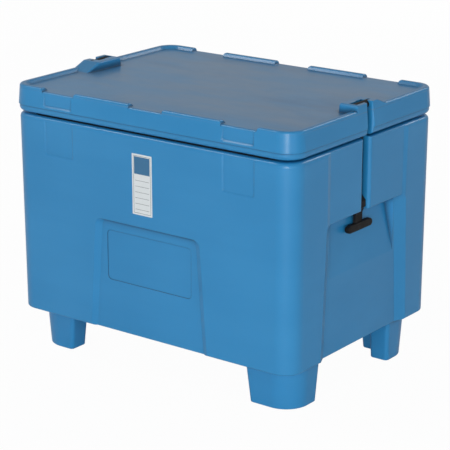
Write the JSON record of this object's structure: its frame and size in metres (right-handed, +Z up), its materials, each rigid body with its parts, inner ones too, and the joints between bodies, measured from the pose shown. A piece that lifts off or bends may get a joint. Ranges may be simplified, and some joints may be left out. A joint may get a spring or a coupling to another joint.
{
  "type": "insulated bin",
  "caption": "Double-walled, foam-filled moulded bin on legs, with a lift-off insulated lid and a rubber strap latch at each end.",
  "frame": {"origin": "on the floor, under the centre of the bin", "axes": "+X along the long side towards one latch, +Y along the short side, +Z up"},
  "size_m": [1.0742, 0.7852, 0.885],
  "materials": {
    "blue_moulding": "smooth moulded polyethylene with a soft shine",
    "foam": "rigid foam, closed in",
    "plug_plastic": "plain moulded plastic",
    "gasket_rubber": "dull black sealing rubber",
    "latch_rubber": "dull black moulded rubber",
    "label_paper": "white adhesive label, no wording"
  },
  "bodies": {
    "bin": {"bin_shell": "blue_moulding", "bin_insulation": "foam", "bin_fill_plugs": "plug_plastic", "label": "label_paper"},
    "lid": {"lid_shell": "blue_moulding", "lid_insulation": "foam", "lid_fill_plugs": "plug_plastic", "lid_gasket": "gasket_rubber"},
    "latch_right": {"latch_strap_right": "latch_rubber"},
    "latch_left": {"latch_strap_left": "latch_rubber"}
  },
  "joints": [
    {"name": "lid_lift", "type": "slide", "parent": "bin", "child": "lid", "axis": [0, 0, 1], "range_m": [0, 0.45], "deforming": ["latch_strap_right", "latch_strap_left"]},
    {"name": "latch_right_swing", "type": "hinge", "parent": "lid", "child": "latch_right", "pos_m": [0.5065, 0, 0.8735], "axis": [0, -1, 0], "range_deg": [0, 170]},
    {"name": "latch_left_swing", "type": "hinge", "parent": "lid", "child": "latch_left", "pos_m": [-0.5065, 0, 0.8735], "axis": [0, 1, 0], "range_deg": [0, 170]}
  ]
}
